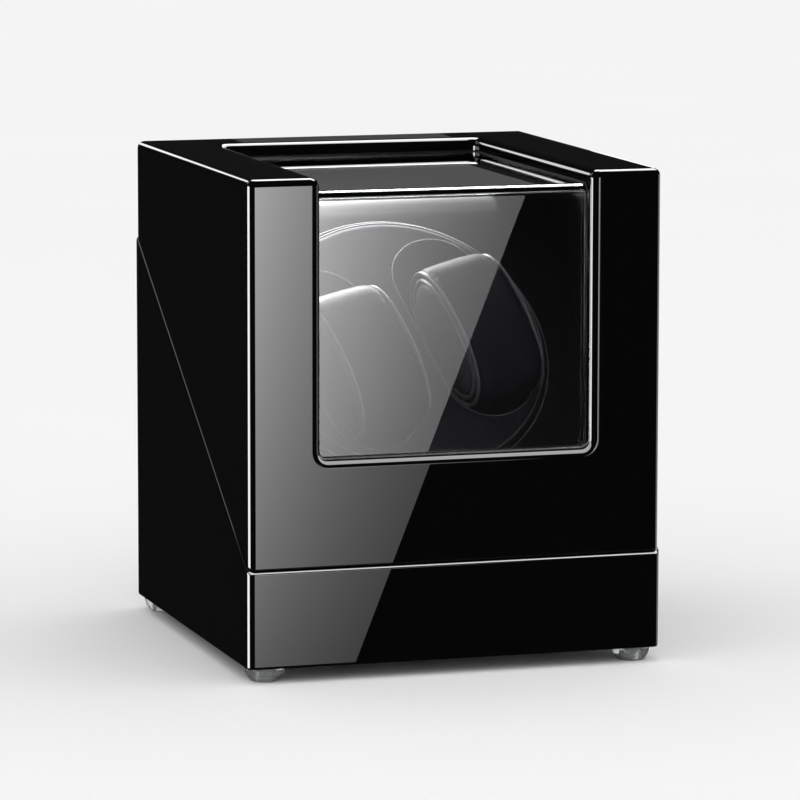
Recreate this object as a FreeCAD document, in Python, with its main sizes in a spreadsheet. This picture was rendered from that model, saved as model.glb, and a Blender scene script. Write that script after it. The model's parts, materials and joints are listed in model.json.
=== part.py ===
import FreeCAD, Part
import math
import operator
import os
import types

import Sketcher

# A two-watch winder box: a lacquered base and lid that meet on one sloping plane, a bent
# acrylic window in the lid, and a belt-driven turntable that leans back inside the base.
# Case frame: X to the right, Y to the back, Z up, origin in the middle of the underside.
# Turntable frame: X as in the case, Z out of the disc, origin in the middle of its fascia hole.

Vector = FreeCAD.Vector
Rotation = FreeCAD.Rotation
Placement = FreeCAD.Placement

DIMENSIONS = {
    # case
    "case_width": 178.0,
    "case_depth": 182.0,
    "case_height": 200.0,
    "case_wall": 10.0,
    "case_edge_radius": 3.0,
    "rim_radius": 1.2,
    "lid_rim_radius": 0.5,
    "lid_inset": 0.6,
    "split_front": 40.0,
    "split_back": 160.0,
    "split_gap": 0.5,
    "foot_height": 6.0,
    "foot_radius": 8.25,
    "foot_inset": 9.6,
    "panel_thickness": 6.0,
    "panel_rabbet": 5.0,
    "rear_reach": 8.0,
    # window
    "window_half": 57.5,
    "window_sill": 85.5,
    "window_back": 63.0,
    "window_corner": 3.0,
    "window_round": 4.0,
    "window_lip": 5.5,
    "gasket_thickness": 0.5,
    "acrylic_thickness": 3.0,
    "acrylic_bend": 4.0,
    "rebate_width": 4.0,
    # turntable and housing
    "disc_middle_depth": -14.5,
    "disc_middle_height": 119.1,
    "disc_tilt": 51.0,
    "fascia_hole": 63.4,
    "housing_half": 78.4,
    "housing_reach": 80.4,
    "housing_rear": 78.6,
    "housing_wall": 2.5,
    "housing_foot": 30.0,
    "shelf_height": 177.5,
    "shelf_radius": 15.0,
    "disc_radius": 61.5,
    "disc_rise": 4.5,
    "disc_edge": 4.0,
    "disc_skin": 2.5,
    "disc_skirt": 8.0,
    "slot_offset": 27.6,
    "slot_radius": 19.4,
    "slot_reach": 25.5,
    "slot_turn": 14.5,
    "cup_wall": 1.5,
    "cup_floor": 6.0,
    "pillow_reach": 33.4,
    "pillow_thickness": 42.0,
    "pillow_width": 33.4,
    "pillow_rise": 15.9,
    "pillow_shift": 0.5,
    "pillow_drop": 9.0,
    # drive
    "shaft_radius": 3.0,
    "bush_radius": 5.0,
    "running_gap": 0.04,
    "plate_front": 36.0,
    "plate_thickness": 3.0,
    "plate_half": 74.5,
    "plate_low": 72.0,
    "plate_high": 62.0,
    "post_side": 70.0,
    "pulley_front": 20.0,
    "pulley_thickness": 8.0,
    "driven_pitch": 26.0,
    "motor_pitch": 6.5,
    "belt_thickness": 1.5,
    "belt_width": 3.0,
    "belt_gap": 0.3,
    "motor_drop": 46.0,
    "gearbox_radius": 17.0,
    "gearbox_length": 18.0,
    "motor_radius": 13.0,
    "motor_length": 28.0,
    # rear controls
    "control_height": 50.0,
    "control_half": 44.0,
    "control_plate_thickness": 1.5,
    "knob_place": 22.0,
    "knob_radius": 8.0,
    "knob_gap": 0.5,
    "jack_radius": 2.75,
    "rocker_place": 24.0,
    "rocker_rest": 6.0,
    # hinges
    "hinge_place": 55.0,
    "hinge_half": 15.0,
    "hinge_offset": 2.2,
    "knuckle_radius": 2.0,
    "knuckle_half": 5.0,
    "pin_radius": 0.8,
    "pin_gap": 0.05,
    "leaf_thickness": 1.4,
    "leaf_reach": 13.0,
    # fasteners
    "screw_radius": 1.5,
    "screw_gap": 0.1,
}

doc = FreeCAD.newDocument("watch_winder_box")
sheet = doc.addObject("Spreadsheet::Sheet", "Dims")
for row, (alias, number) in enumerate(DIMENSIONS.items(), start=1):
    sheet.set(f"A{row}", alias)
    sheet.set(f"B{row}", str(number))
    sheet.setAlias(f"B{row}", alias)
doc.recompute()


class Size:
    """A number together with the sheet formula that gives it."""

    def __init__(self, number, formula):
        self.number = float(number)
        self.formula = formula

    def joined(self, sign, other, turned=False):
        first, second = self, size(other)
        if turned:
            first, second = second, first
        number = OPERATIONS[sign](first.number, second.number)
        return Size(number, f"({first.formula} {sign} {second.formula})")

    def __add__(self, other):
        return self.joined("+", other)

    def __radd__(self, other):
        return self.joined("+", other, turned=True)

    def __sub__(self, other):
        return self.joined("-", other)

    def __rsub__(self, other):
        return self.joined("-", other, turned=True)

    def __mul__(self, other):
        return self.joined("*", other)

    def __rmul__(self, other):
        return self.joined("*", other, turned=True)

    def __truediv__(self, other):
        return self.joined("/", other)

    def __neg__(self):
        return Size(-self.number, f"(-1 * {self.formula})")

    def __float__(self):
        return self.number


OPERATIONS = {"+": operator.add, "-": operator.sub, "*": operator.mul, "/": operator.truediv}


def size(given):
    """The given number as a Size."""
    return given if isinstance(given, Size) else Size(given, f"({float(given):.6f})")


dim = types.SimpleNamespace(**{
    alias: Size(sheet.get(alias), f"Dims.{alias}") for alias in DIMENSIONS
})

CLEAR = 20.0
HALF_WIDTH = dim.case_width / 2
HALF_DEPTH = dim.case_depth / 2
INNER_HALF_WIDTH = HALF_WIDTH - dim.case_wall
INNER_HALF_DEPTH = HALF_DEPTH - dim.case_wall
SPLIT_SLOPE = (dim.split_back - dim.split_front) / dim.case_depth
SHIFT = -dim.rear_reach / 2


# ---------------------------------------------------------------- tools

def bind(item, **sizes):
    """Bind properties of an object to the sheet."""
    for name, given in sizes.items():
        item.setExpression(name, size(given).formula)


def place(item, x=0.0, y=0.0, z=0.0):
    """Bind the position of an object to the sheet."""
    for axis, given in zip("xyz", (x, y, z)):
        item.setExpression(f"Placement.Base.{axis}", size(given).formula)
    return item


def box(name, x, y, z):
    """A block between the given pairs of planes."""
    item = doc.addObject("Part::Box", name)
    bind(item, Length=size(x[1]) - x[0], Width=size(y[1]) - y[0], Height=size(z[1]) - z[0])
    return place(item, x[0], y[0], z[0])


AXES = {
    "x": Rotation(Vector(0, 1, 0), 90),
    "y": Rotation(Vector(1, 0, 0), -90),
    "z": Rotation(),
}


def rod(name, radius, along, start, end, across=(0.0, 0.0)):
    """A cylinder along one axis; across is its place on the other two axes, in order."""
    item = doc.addObject("Part::Cylinder", name)
    bind(item, Radius=radius, Height=size(end) - start)
    item.Placement = Placement(Vector(), AXES[along])
    spot = list(across)
    spot.insert("xyz".index(along), start)
    return place(item, *spot)


def cut(name, base, *tools):
    """The base with all the tools taken away."""
    item = doc.addObject("Part::Cut", name)
    item.Base = base
    item.Tool = tools[0] if len(tools) == 1 else fuse(name + "_tools", *tools)
    return item


def fuse(name, *pieces):
    """The pieces as one."""
    item = doc.addObject("Part::MultiFuse", name)
    item.Shapes = list(pieces)
    item.Refine = True
    return item


def fillet(name, base, *rounds):
    """The base with edges rounded; each round is a radius and a test that picks the edges."""
    doc.recompute()
    picked = {}
    for radius, test in rounds:
        for number, edge in enumerate(base.Shape.Edges, start=1):
            if test(edge):
                picked[number] = float(radius)
    if not picked:
        raise ValueError(f"{name}: no edge to round")
    item = doc.addObject("Part::Fillet", name)
    item.Base = base
    item.Edges = [(number, radius, radius) for number, radius in picked.items()]
    return item


def runs(edge, axis):
    """Whether an edge is straight and runs along an axis."""
    if not isinstance(edge.Curve, Part.Line):
        return False
    return abs(edge.Curve.Direction[axis]) > 0.999


def near(edge, **spot):
    """Whether the middle of an edge lies at the given coordinates."""
    middle = edge.CenterOfMass
    return all(abs(getattr(middle, axis) - float(given)) < 0.05 for axis, given in spot.items())


def constrain(sketch, corners):
    """Draw a closed outline of straight lines whose corners are all bound to the sheet."""
    count = len(corners)
    spots = [Vector(float(a), float(b), 0) for a, b in corners]
    for number in range(count):
        sketch.addGeometry(Part.LineSegment(spots[number], spots[(number + 1) % count]), False)
    for number in range(count):
        following = (number + 1) % count
        sketch.addConstraint(Sketcher.Constraint("Coincident", number, 2, following, 1))
    for number, corner in enumerate(corners):
        for kind, axis, given in (("DistanceX", -2, corner[0]), ("DistanceY", -1, corner[1])):
            if float(given) == 0.0:
                sketch.addConstraint(Sketcher.Constraint("PointOnObject", number, 1, axis))
                continue
            index = sketch.addConstraint(
                Sketcher.Constraint(kind, -1, 1, number, 1, float(given))
            )
            sketch.setExpression(f"Constraints[{index}]", size(given).formula)


def prism(name, corners, width):
    """A side outline, given as (y, z) corners, made solid to both sides of the middle plane."""
    sketch = doc.addObject("Sketcher::SketchObject", name + "_outline")
    sketch.Placement = Placement(Vector(), Rotation(Vector(1, 1, 1), 120))
    constrain(sketch, corners)
    item = doc.addObject("Part::Extrusion", name)
    item.Base = sketch
    item.DirMode = "Custom"
    item.Dir = Vector(1, 0, 0)
    item.Solid = True
    item.Symmetric = True
    bind(item, LengthFwd=width)
    return item


def turned(name, corners):
    """A body turned from an outline given as (radius, height) corners."""
    body = doc.addObject("PartDesign::Body", name)
    sketch = body.newObject("Sketcher::SketchObject", name + "_outline")
    plane = next(item for item in body.Origin.OriginFeatures if item.Role == "XZ_Plane")
    sketch.AttachmentSupport = [(plane, "")]
    sketch.MapMode = "FlatFace"
    constrain(sketch, corners)
    doc.recompute()
    feature = body.newObject("PartDesign::Revolution", name + "_turning")
    feature.Profile = sketch
    feature.ReferenceAxis = (sketch, ["V_Axis"])
    feature.Angle = 360.0
    return body


def padded_plate(name, corners, thickness, holes):
    """A flat body with round through holes, each a radius and an (x, y) place."""
    body = doc.addObject("PartDesign::Body", name)
    plane = next(item for item in body.Origin.OriginFeatures if item.Role == "XY_Plane")
    sketch = body.newObject("Sketcher::SketchObject", name + "_outline")
    sketch.AttachmentSupport = [(plane, "")]
    sketch.MapMode = "FlatFace"
    constrain(sketch, corners)
    pad = body.newObject("PartDesign::Pad", name + "_pad")
    pad.Profile = sketch
    bind(pad, Length=thickness)
    doc.recompute()
    drawing = body.newObject("Sketcher::SketchObject", name + "_holes")
    drawing.AttachmentSupport = [(plane, "")]
    drawing.MapMode = "FlatFace"
    for number, (radius, x, y) in enumerate(holes):
        circle = Part.Circle(Vector(float(x), float(y), 0), Vector(0, 0, 1), float(radius))
        drawing.addGeometry(circle, False)
        index = drawing.addConstraint(Sketcher.Constraint("Radius", number, float(radius)))
        drawing.setExpression(f"Constraints[{index}]", size(radius).formula)
        for kind, axis, given in (("DistanceX", -2, x), ("DistanceY", -1, y)):
            if float(given) == 0.0:
                drawing.addConstraint(Sketcher.Constraint("PointOnObject", number, 3, axis))
                continue
            index = drawing.addConstraint(
                Sketcher.Constraint(kind, -1, 1, number, 3, float(given))
            )
            drawing.setExpression(f"Constraints[{index}]", size(given).formula)
    pocket = body.newObject("PartDesign::Pocket", name + "_pocket")
    pocket.Profile = drawing
    pocket.Type = "ThroughAll"
    pocket.Reversed = True
    return body


def copies(name, item, spots, rotation=None):
    """Links to one object, one at each (x, y, z) spot."""
    made = []
    for number, spot in enumerate(spots, start=1):
        link = doc.addObject("App::Link", f"{name}_{number}")
        link.LinkedObject = item
        link.LinkTransform = False
        link.Placement = Placement(Vector(), rotation or Rotation())
        made.append(place(link, *spot))
    return made


nodes = {}


def node(name, *pieces, tilted=False):
    """Name a finished sub-part and put it in its place on the box."""
    item = doc.addObject("Part::Compound", name)
    item.Label = name
    item.Links = list(pieces)
    if tilted:
        item.Placement = Placement(Vector(), Rotation(Vector(1, 0, 0), float(dim.disc_tilt)))
        place(item, 0.0, dim.disc_middle_depth + SHIFT, dim.disc_middle_height + dim.foot_height)
    else:
        place(item, 0.0, SHIFT, dim.foot_height)
    nodes[name] = item


# ---------------------------------------------------------------- fasteners

def screw(name, radius, length, head_radius, head_height):
    """A pan-head screw whose head sits on z = 0 and whose shank points down."""
    corners = [
        (0.0, -size(length)),
        (size(radius) * 0.5, -size(length)),
        (radius, -size(length) + radius),
        (radius, 0.0),
        (head_radius, 0.0),
        (head_radius, size(head_height) * 0.5),
        (size(head_radius) * 0.7, head_height),
        (0.0, head_height),
    ]
    return turned(name, corners)


HOLE = dim.screw_radius + dim.screw_gap
POINTS_BACK = Rotation(Vector(1, 0, 0), -90)


# ---------------------------------------------------------------- feet

FOOT_X = HALF_WIDTH - dim.foot_inset
FOOT_Y = HALF_DEPTH - dim.foot_inset
FOOT_SPOTS = {
    "front_left_foot": (-FOOT_X, -FOOT_Y),
    "front_right_foot": (FOOT_X, -FOOT_Y),
    "rear_left_foot": (-FOOT_X, FOOT_Y),
    "rear_right_foot": (FOOT_X, FOOT_Y),
}
FOOT_SCREW_LENGTH = 6.0
FOOT_SCREW_SEAT = 1.4


def make_feet():
    bumper = turned("bumper", [
        (HOLE, 0.0),
        (dim.foot_radius, 0.0),
        (dim.foot_radius, -0.8),
        (dim.foot_radius - 0.7, -dim.foot_height * 0.55),
        (dim.foot_radius - 2.2, -dim.foot_height * 0.9),
        (dim.foot_radius - 3.0, -dim.foot_height),
        (3.6, -dim.foot_height),
        (3.2, -FOOT_SCREW_SEAT),
        (HOLE, -FOOT_SCREW_SEAT),
    ])
    seat = screw("foot_screw", dim.screw_radius, FOOT_SCREW_LENGTH, 2.8, 1.8)
    flipped = Rotation(Vector(1, 0, 0), 180)
    heads = []
    for name, (x, y) in FOOT_SPOTS.items():
        node(name, *copies(name + "_bumper", bumper, [(x, y, 0.0)]))
        heads += copies(name + "_screw", seat, [(x, y, -FOOT_SCREW_SEAT)], flipped)
    node("foot_screws", *heads)


def foot_screw_holes(name):
    """Rods that clear the foot screws."""
    return [
        rod(f"{name}_{number}", HOLE, "z", -1.0, FOOT_SCREW_LENGTH - FOOT_SCREW_SEAT + 0.2, spot)
        for number, spot in enumerate(FOOT_SPOTS.values(), start=1)
    ]


# ---------------------------------------------------------------- case

HOUSING_SCREWS = [(-44.0, 46.0), (56.0, 46.0)]
HOUSING_SCREW_LENGTH = 9.0
CONTROL_CUT_HALF = 37.0
CONTROL_CUT_RISE = 17.0
CONTROL_SCREW_X = 40.0
CONTROL_SCREW_RISE = 19.0
CONTROL_SCREW_LENGTH = 8.0
HINGE_SCREW_X = 9.0
HINGE_SCREW_DROP = 8.5
HINGE_SCREW_LENGTH = 8.0


def split_height(y, gap):
    """The height of the sloping joint at a depth, moved up or down by a gap."""
    return dim.split_front + SPLIT_SLOPE * (HALF_DEPTH + y) + gap


def upright(edge):
    return runs(edge, 2)


def make_base_case():
    half_gap = dim.split_gap / 2
    block = prism("base_block", [
        (-HALF_DEPTH, 0.0),
        (HALF_DEPTH, 0.0),
        (HALF_DEPTH, split_height(HALF_DEPTH, -half_gap)),
        (-HALF_DEPTH, split_height(-HALF_DEPTH, -half_gap)),
    ], dim.case_width)
    cornered = fillet("base_corners", block, (dim.case_edge_radius, upright))
    rimmed = fillet("base_rim", cornered, (dim.rim_radius, lambda edge: not upright(edge)))
    cavity = box("base_cavity", (-INNER_HALF_WIDTH, INNER_HALF_WIDTH),
                 (-INNER_HALF_DEPTH, INNER_HALF_DEPTH), (-1.0, dim.case_height))
    rabbet_x = INNER_HALF_WIDTH + dim.panel_rabbet
    rabbet_y = INNER_HALF_DEPTH + dim.panel_rabbet
    rabbet = box("base_rabbet", (-rabbet_x, rabbet_x), (-rabbet_y, rabbet_y),
                 (-1.0, dim.panel_thickness))
    control = box("base_control_opening", (-CONTROL_CUT_HALF, CONTROL_CUT_HALF),
                  (0.0, HALF_DEPTH + 1.0),
                  (dim.control_height - CONTROL_CUT_RISE, dim.control_height + CONTROL_CUT_RISE))
    tools = [cavity, rabbet, control]
    for number, (y, z) in enumerate(HOUSING_SCREWS, start=1):
        tools.append(rod(f"base_side_hole_{number}", HOLE, "x", -HALF_WIDTH + 2.0,
                         HALF_WIDTH - 2.0, (y, z)))
    for side in (-1, 1):
        for end in (-1, 1):
            spot = (side * CONTROL_SCREW_X, dim.control_height + end * CONTROL_SCREW_RISE)
            tools.append(rod(f"base_control_hole_{side + 2}_{end + 2}", HOLE, "y",
                             HALF_DEPTH - CONTROL_SCREW_LENGTH, HALF_DEPTH + 1.0, spot))
            spot = (side * dim.hinge_place + end * HINGE_SCREW_X,
                    dim.split_back - HINGE_SCREW_DROP)
            tools.append(rod(f"base_hinge_hole_{side + 2}_{end + 2}", HOLE, "y",
                             HALF_DEPTH - HINGE_SCREW_LENGTH, HALF_DEPTH + 1.0, spot))
    node("base_case", cut("base_case_cut", rimmed, *tools))
    panel_x = rabbet_x - 0.2
    panel_y = rabbet_y - 0.2
    panel = box("bottom_board", (-panel_x, panel_x), (-panel_y, panel_y),
                (0.0, dim.panel_thickness))
    node("bottom_panel", cut("bottom_panel_cut", panel, *foot_screw_holes("panel_hole")))


WINDOW_REACH = 10.0


def bent(name, inset, thickness, bend_out, bend_in, half, sill, back):
    """A sheet that follows the front and the top of the lid, bent over its front edge."""
    front = size(inset) - HALF_DEPTH
    top = dim.case_height - inset
    sheet_block = prism(name + "_block", [
        (front, sill),
        (front + thickness, sill),
        (front + thickness, top - thickness),
        (back, top - thickness),
        (back, top),
        (front, top),
    ], size(half) * 2)
    outer = (bend_out, lambda edge: runs(edge, 0) and near(edge, y=front, z=top))
    inner = (bend_in, lambda edge: runs(edge, 0)
             and near(edge, y=front + thickness, z=top - thickness))
    return fillet(name + "_bend", sheet_block, outer, inner)


def frame_of(name, inset, thickness, bend_out, bend_in, half, sill, back):
    """The same bent sheet with the window cut out of it."""
    sheet_piece = bent(name, inset, thickness, bend_out, bend_in, half, sill, back)
    return cut(name + "_frame", sheet_piece, window_cutter(name + "_window"))


def window_cutter(name):
    """What the window takes out of the front and the top of the lid."""
    front = box(name + "_front", (-dim.window_half, dim.window_half),
                (-HALF_DEPTH - CLEAR, -INNER_HALF_DEPTH + WINDOW_REACH),
                (dim.window_sill, dim.case_height + CLEAR))
    top = box(name + "_top", (-dim.window_half, dim.window_half),
              (-HALF_DEPTH - CLEAR, dim.window_back),
              (dim.case_height - dim.case_wall - WINDOW_REACH, dim.case_height + CLEAR))
    both = fuse(name + "_both", front, top)
    return fillet(name + "_cutter", both,
                  (dim.window_corner, lambda edge: runs(edge, 1) and near(edge, z=dim.window_sill)),
                  (dim.window_corner, lambda edge: runs(edge, 2) and near(edge, y=dim.window_back)))


def on_window_edge(edge):
    """Whether an edge lies on the window's outline on the outside of the lid."""
    middle = edge.CenterOfMass
    radius = float(dim.case_edge_radius)
    front = float(dim.lid_inset - HALF_DEPTH)
    top = float(dim.case_height)
    outside = middle.y < front + radius - 0.1 or middle.z > top - radius + 0.1
    half = float(dim.window_half)
    inside = abs(middle.x) < half + 0.05 and middle.y < float(dim.window_back) + 0.05
    return outside and inside and middle.z > float(dim.window_sill) - 0.05


def make_lid():
    half_gap = dim.split_gap / 2
    reach = HALF_DEPTH - dim.lid_inset
    block = prism("lid_block", [
        (-reach, split_height(-reach, half_gap)),
        (reach, split_height(reach, half_gap)),
        (reach, dim.case_height),
        (-reach, dim.case_height),
    ], dim.case_width - dim.lid_inset * 2)
    top = float(dim.case_height)

    def on_top(edge):
        return abs(edge.CenterOfMass.z - top) < 0.05

    def on_rim(edge):
        middle = edge.CenterOfMass
        return abs(middle.z - float(split_height(middle.y, half_gap))) < 0.05

    cornered = fillet("lid_corners", block,
                      (dim.case_edge_radius, lambda edge: upright(edge) or on_top(edge)))
    rimmed = fillet("lid_rim", cornered, (dim.lid_rim_radius, on_rim))
    cavity = box("lid_cavity", (-INNER_HALF_WIDTH, INNER_HALF_WIDTH),
                 (-INNER_HALF_DEPTH, INNER_HALF_DEPTH),
                 (-1.0, dim.case_height - dim.case_wall))
    opened = cut("lid_opened", rimmed, window_cutter("lid_window"))
    softened = fillet("lid_window_round", opened, (dim.window_round, on_window_edge))
    rebate_half = dim.window_half + dim.rebate_width
    rebate_front = box("lid_rebate_front", (-rebate_half, rebate_half),
                       (dim.window_lip - HALF_DEPTH, -INNER_HALF_DEPTH + 1.0),
                       (dim.window_sill - dim.rebate_width, dim.case_height - dim.window_lip))
    rebate_top = box("lid_rebate_top", (-rebate_half, rebate_half),
                     (dim.window_lip - HALF_DEPTH, dim.window_back + dim.rebate_width),
                     (dim.case_height - dim.case_wall - 1.0, dim.case_height - dim.window_lip))
    rebate_both = fuse("lid_rebate_both", rebate_front, rebate_top)
    rebate = fillet("lid_rebate", rebate_both,
                    (dim.acrylic_bend + dim.gasket_thickness,
                     lambda edge: runs(edge, 0) and near(edge, y=dim.window_lip - HALF_DEPTH,
                                                         z=dim.case_height - dim.window_lip)))
    tools = [cavity, rebate]
    for side in (-1, 1):
        for end in (-1, 1):
            spot = (side * dim.hinge_place + end * HINGE_SCREW_X,
                    dim.split_back + HINGE_SCREW_DROP)
            tools.append(rod(f"lid_hinge_hole_{side + 2}_{end + 2}", HOLE, "y",
                             HALF_DEPTH - HINGE_SCREW_LENGTH, HALF_DEPTH + 1.0, spot))
    node("lid_shell", cut("lid_shell_cut", softened, *tools))

    half = rebate_half - 0.2
    sill = dim.window_sill - dim.rebate_width + 0.2
    back = dim.window_back + dim.rebate_width - 0.2
    panel_inset = dim.window_lip + dim.gasket_thickness
    node("window_gasket", frame_of("gasket", dim.window_lip, dim.gasket_thickness,
                                   dim.acrylic_bend + dim.gasket_thickness, dim.acrylic_bend,
                                   half, sill, back))
    node("window_panel", bent("acrylic", panel_inset, dim.acrylic_thickness, dim.acrylic_bend,
                              dim.acrylic_bend - dim.acrylic_thickness, half, sill, back))
    retainer_inset = panel_inset + dim.acrylic_thickness
    node("window_retainer", frame_of("retainer", retainer_inset, dim.case_wall - retainer_inset,
                                     dim.acrylic_bend - dim.acrylic_thickness, 0.3,
                                     half, sill, back))


# ---------------------------------------------------------------- inner housing

TILT = math.radians(float(dim.disc_tilt))
TILT_COS = Size(math.cos(TILT), "cos(Dims.disc_tilt)")
TILT_SIN = Size(math.sin(TILT), "sin(Dims.disc_tilt)")
BACK_WINDOW_HALF = 60.0
BACK_WINDOW_TOP = 140.0


def fascia_height(y, depth):
    """The height of the fascia's face, or of a face that deep behind it, at a depth y."""
    return (dim.disc_middle_height + (y - dim.disc_middle_depth) * TILT_SIN / TILT_COS
            - depth / TILT_COS)


def fascia_y(z, depth):
    """Where the fascia's face, or one that deep behind it, reaches a height."""
    return (dim.disc_middle_depth
            + (z - dim.disc_middle_height + depth / TILT_COS) * TILT_COS / TILT_SIN)


def housing_outline(name, wall, foot, width):
    """The hood's side outline, taken in by a wall, with the rolled edge above the fascia."""
    reach = dim.housing_reach - wall
    rear = dim.housing_rear - wall
    shelf = dim.shelf_height - wall
    block = prism(name, [
        (-reach, foot),
        (-reach, fascia_height(-reach, size(wall))),
        (fascia_y(shelf, size(wall)), shelf),
        (rear, shelf),
        (rear, foot),
    ], width)
    return fillet(name + "_roll", block,
                  (dim.shelf_radius - wall,
                   lambda edge: runs(edge, 0) and near(edge, y=fascia_y(shelf, size(wall)), z=shelf)))


def make_housing():
    outer = housing_outline("housing_outer", 0.0, dim.housing_foot, dim.housing_half * 2)
    inner = housing_outline("housing_inner", dim.housing_wall, dim.housing_foot - 1.0,
                            (dim.housing_half - dim.housing_wall) * 2)
    window = box("housing_back_window", (-BACK_WINDOW_HALF, BACK_WINDOW_HALF),
                 (INNER_HALF_DEPTH - 6.0, HALF_DEPTH), (0.0, BACK_WINDOW_TOP))
    hole = doc.addObject("Part::Cylinder", "housing_disc_hole")
    bind(hole, Radius=dim.fascia_hole, Height=CLEAR)
    hole.Placement = Placement(Vector(), Rotation(Vector(1, 0, 0), float(dim.disc_tilt)))
    place(hole, 0.0, dim.disc_middle_depth + TILT_SIN * (CLEAR / 2),
          dim.disc_middle_height - TILT_COS * (CLEAR / 2))
    tools = [inner, window, hole]
    for number, (y, z) in enumerate(HOUSING_SCREWS, start=1):
        tools.append(rod(f"housing_side_hole_{number}", HOLE, "x", -HALF_WIDTH, HALF_WIDTH, (y, z)))
    node("inner_housing", cut("inner_housing_cut", outer, *tools))

    cleat_in = INNER_HALF_WIDTH - 12.0
    cleat_length = 60.0
    for side, name in ((-1, "left_cleat"), (1, "right_cleat")):
        across = sorted((side * cleat_in, side * INNER_HALF_WIDTH), key=float)
        bar = box(name + "_bar", across, (-cleat_length, cleat_length),
                  (dim.panel_thickness, dim.housing_foot))
        node(name, bar)

    seat = dim.housing_half - dim.housing_wall
    side_screw = screw("side_screw", dim.screw_radius, HOUSING_SCREW_LENGTH, 2.8, 1.6)
    right = [(seat, y, z) for y, z in HOUSING_SCREWS]
    left = [(-seat, y, z) for y, z in HOUSING_SCREWS]
    node("housing_screws",
         *copies("right_side_screw", side_screw, right, Rotation(Vector(0, 1, 0), -90)),
         *copies("left_side_screw", side_screw, left, Rotation(Vector(0, 1, 0), 90)))


# ---------------------------------------------------------------- turntable

def stadium(name, radius, low, high, side):
    """A long round-ended block over one pillow slot."""
    ends = [
        rod(f"{name}_end_{number}", radius, "z", low, high, (side * dim.slot_offset, reach))
        for number, reach in enumerate((-dim.slot_reach, dim.slot_reach), start=1)
    ]
    middle = box(name + "_middle",
                 (side * dim.slot_offset - radius, side * dim.slot_offset + radius),
                 (-dim.slot_reach, dim.slot_reach), (low, high))
    return fuse(name, middle, *ends)


def turn(name, item):
    """The item turned with the disc to where it stands at rest."""
    link = doc.addObject("Part::Compound", name)
    link.Links = [item]
    link.Placement = Placement(Vector(), Rotation(Vector(0, 0, 1), float(dim.slot_turn)))
    return link


HUB_SCREWS = (-27.0, -16.0, 16.0, 27.0)
HUB_BOSS = 6.2
HUB_PLATE = 3.0
HUB_PLATE_HALF = 31.0
SIDES = ((-1, "left"), (1, "right"))


def make_turntable():
    under = dim.disc_rise - dim.disc_skin
    blank = rod("disc_blank", dim.disc_radius, "z", -dim.disc_skirt, dim.disc_rise)
    rounded = fillet("disc_rounded", blank,
                     (dim.disc_edge, lambda edge: near(edge, z=dim.disc_rise)))
    hollow_blank = rod("disc_hollow_blank", dim.disc_radius - dim.disc_skin, "z",
                       -dim.disc_skirt - 1.0, under)
    hollow = fillet("disc_hollow", hollow_blank,
                    (dim.disc_edge - dim.disc_skin, lambda edge: near(edge, z=under)))
    slots = [
        stadium(f"{word}_slot", dim.slot_radius, -1.0, dim.disc_rise + 1.0, side)
        for side, word in SIDES
    ]
    disc = cut("disc_cut", rounded, hollow, *slots)
    node("turntable_disc", turn("disc_turned", disc), tilted=True)

    for side, word in SIDES:
        shell = stadium(f"{word}_cup_shell", dim.slot_radius + dim.cup_wall,
                        -dim.cup_floor - dim.cup_wall, under, side)
        space = stadium(f"{word}_cup_space", dim.slot_radius, -dim.cup_floor, under + 1.0, side)
        cup = cut(f"{word}_cup_cut", shell, space)
        node(f"{word}_pillow_cup", turn(f"{word}_cup_turned", cup), tilted=True)

    plate_low = under - HUB_PLATE
    plate = box("hub_plate", (-HUB_BOSS, HUB_BOSS), (-HUB_PLATE_HALF, HUB_PLATE_HALF),
                (plate_low, under))
    boss = rod("hub_boss", HUB_BOSS, "z", -dim.pulley_front, under)
    bore = rod("hub_bore", dim.shaft_radius, "z", -dim.pulley_front - 1.0, under + 1.0)
    holes = [
        rod(f"hub_hole_{number}", HOLE, "z", plate_low - 1.0, under + 1.0, (0.0, y))
        for number, y in enumerate(HUB_SCREWS, start=1)
    ]
    hub = cut("hub_cut", fuse("hub_body", plate, boss), bore, *holes)
    node("turntable_hub", turn("hub_turned", hub), tilted=True)

    hub_screw = screw("hub_screw", dim.screw_radius, HUB_PLATE, 2.8, 1.6)
    flipped = Rotation(Vector(1, 0, 0), 180)
    spots = [(0.0, y, plate_low) for y in HUB_SCREWS]
    screws = fuse("hub_screw_set", *copies("hub_screw_copy", hub_screw, spots, flipped))
    node("hub_screws", turn("hub_screws_turned", screws), tilted=True)


PILLOW_ROUND = 4.0


def make_pillows():
    for side, word in SIDES:
        oval = doc.addObject("Part::Ellipse", f"{word}_pillow_oval")
        bind(oval, MajorRadius=dim.pillow_reach, MinorRadius=dim.pillow_thickness / 2)
        roll = doc.addObject("Part::Extrusion", f"{word}_pillow_roll")
        roll.Base = oval
        roll.DirMode = "Custom"
        roll.Dir = Vector(0, 0, 1)
        roll.Solid = True
        roll.Symmetric = True
        bind(roll, LengthFwd=dim.pillow_width)
        soft = fillet(f"{word}_pillow_soft", roll, (PILLOW_ROUND, lambda edge: len(edge.Vertexes) == 1))
        soft.Placement = Placement(Vector(), Rotation(Vector(1, 1, 1), 120))
        place(soft, side * (dim.slot_offset - dim.pillow_shift), -dim.pillow_drop, dim.pillow_rise)
        node(f"{word}_pillow", turn(f"{word}_pillow_turned", soft), tilted=True)


# ---------------------------------------------------------------- drive

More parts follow.
